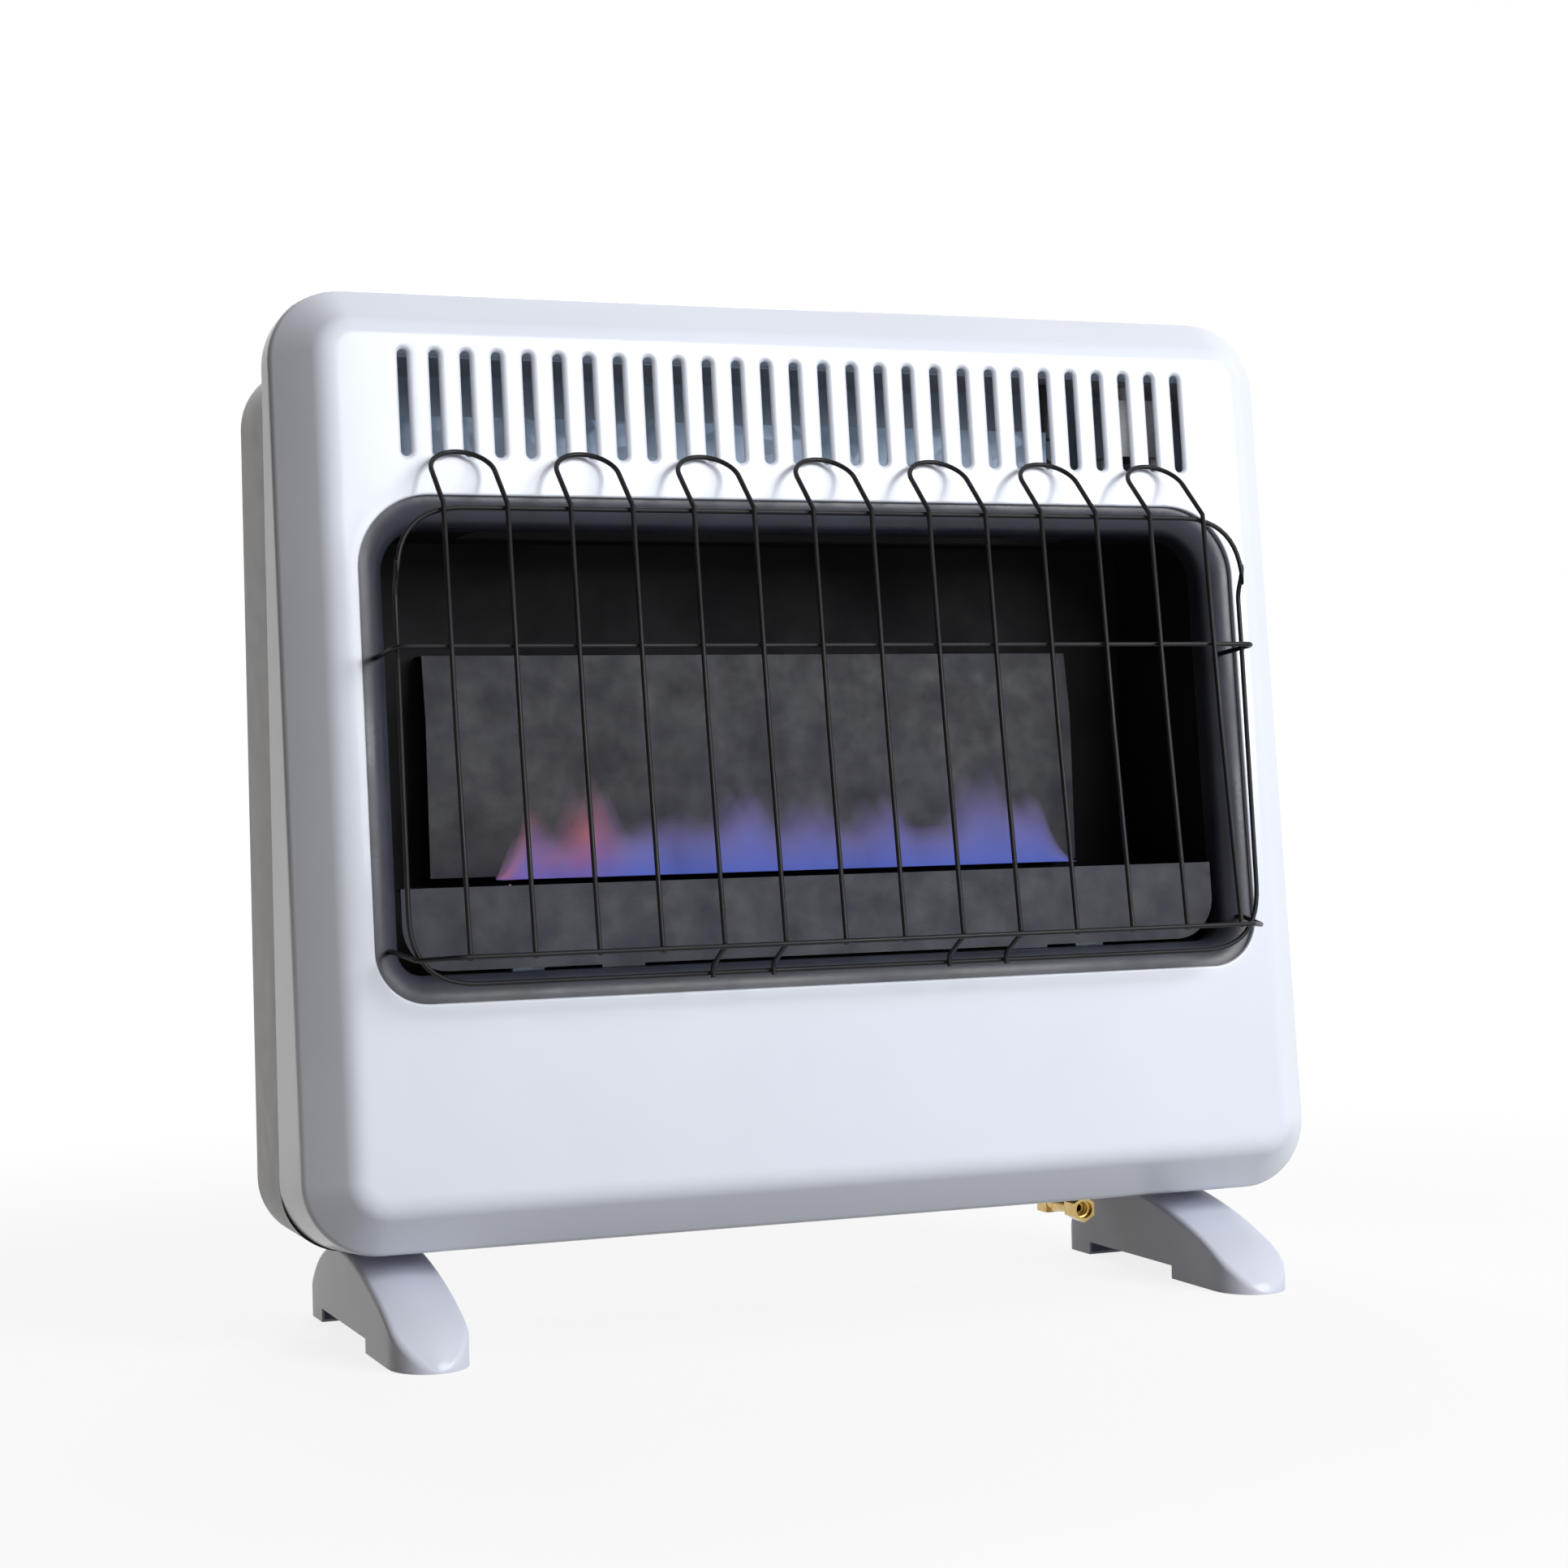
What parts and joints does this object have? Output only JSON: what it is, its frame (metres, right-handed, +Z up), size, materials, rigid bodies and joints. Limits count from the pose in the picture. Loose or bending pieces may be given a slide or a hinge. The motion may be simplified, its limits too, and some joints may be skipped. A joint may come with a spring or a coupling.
{
  "type": "vent-free blue flame heater",
  "caption": "Free-standing gas heater: leaning slotted front panel with a wire-guarded window over its burner, upright cabinet, feet, and a knob and igniter on top.",
  "frame": {"origin": "on the floor, under the middle of the heater and its guard", "axes": "+X to the right seen from the front, +Y towards the wall behind, +Z up"},
  "size_m": [0.74, 0.281, 0.701],
  "materials": {
    "white_enamel": "glossy white baked enamel with a faint orange peel",
    "cabinet_paint": "glossy white baked enamel",
    "black_enamel": "glossy black enamel",
    "grey_enamel": "satin dark grey enamel",
    "black_wire": "satin black paint on steel wire",
    "foot_paint": "glossy white baked enamel",
    "steel": "zinc plated",
    "plated_steel": "aluminised sheet",
    "brass": "plain brass",
    "copper": "plain copper",
    "aluminium_tube": "drawn tube",
    "lead_sleeve": "sleeved lead",
    "ceramic": "unglazed white",
    "cast_alloy": "die cast",
    "knob_plastic": "fine grained black",
    "button_plastic": "smooth dark red",
    "bezel_paint": "satin black"
  },
  "bodies": {
    "casing": {"bulb_clip": "plated_steel", "burner_bracket_left": "plated_steel", "burner_bracket_right": "plated_steel", "burner_pipe": "aluminium_tube", "burner_shield": "grey_enamel", "burner_tube": "plated_steel", "burner_venturi": "plated_steel", "capillary": "copper", "control_bezel": "bezel_paint", "firebox": "black_enamel", "foot_screw_1": "steel", "foot_screw_2": "steel", "foot_screw_3": "steel", "foot_screw_4": "steel", "front_panel": "white_enamel", "gas_valve": "cast_alloy", "guard_bottom_rail": "black_wire", "guard_loop_1": "black_wire", "guard_loop_2": "black_wire", "guard_loop_3": "black_wire", "guard_loop_4": "black_wire", "guard_loop_5": "black_wire", "guard_loop_6": "black_wire", "guard_loop_7": "black_wire", "guard_middle_rail": "black_wire", "guard_ring": "black_wire", "heat_deflector": "plated_steel", "igniter_body": "knob_plastic", "igniter_nut": "steel", "ignition_lead": "lead_sleeve", "inlet_elbow": "brass", "inlet_nut": "brass", "inlet_pipe": "brass", "left_foot": "foot_paint", "orifice_holder": "brass", "pilot_bracket": "plated_steel", "pilot_burner": "brass", "pilot_tube": "aluminium_tube", "pressure_regulator": "cast_alloy", "rear_cabinet": "cabinet_paint", "reflector": "grey_enamel", "right_foot": "foot_paint", "spark_electrode": "ceramic", "supply_pipe": "aluminium_tube", "thermocouple": "copper", "thermostat_bulb": "copper", "window_surround": "black_enamel"},
    "stem": {"valve_stem": "steel"},
    "knob": {"control_knob": "knob_plastic"},
    "button": {"igniter_button": "button_plastic"}
  },
  "joints": [
    {"name": "valve_push", "type": "slide", "parent": "casing", "child": "stem", "axis": [0, 0, -1], "range_m": [0, 0.005], "stiffness_N_per_m": 400, "springref_m": -0.004},
    {"name": "knob_turn", "type": "hinge", "parent": "stem", "child": "knob", "pos_m": [0.296, 0.05052, 0.68], "axis": [0, 0, 1], "range_deg": [-240, 0]},
    {"name": "igniter_push", "type": "slide", "parent": "casing", "child": "button", "axis": [0, 0, -1], "range_m": [0, 0.007], "stiffness_N_per_m": 500, "springref_m": -0.003}
  ]
}
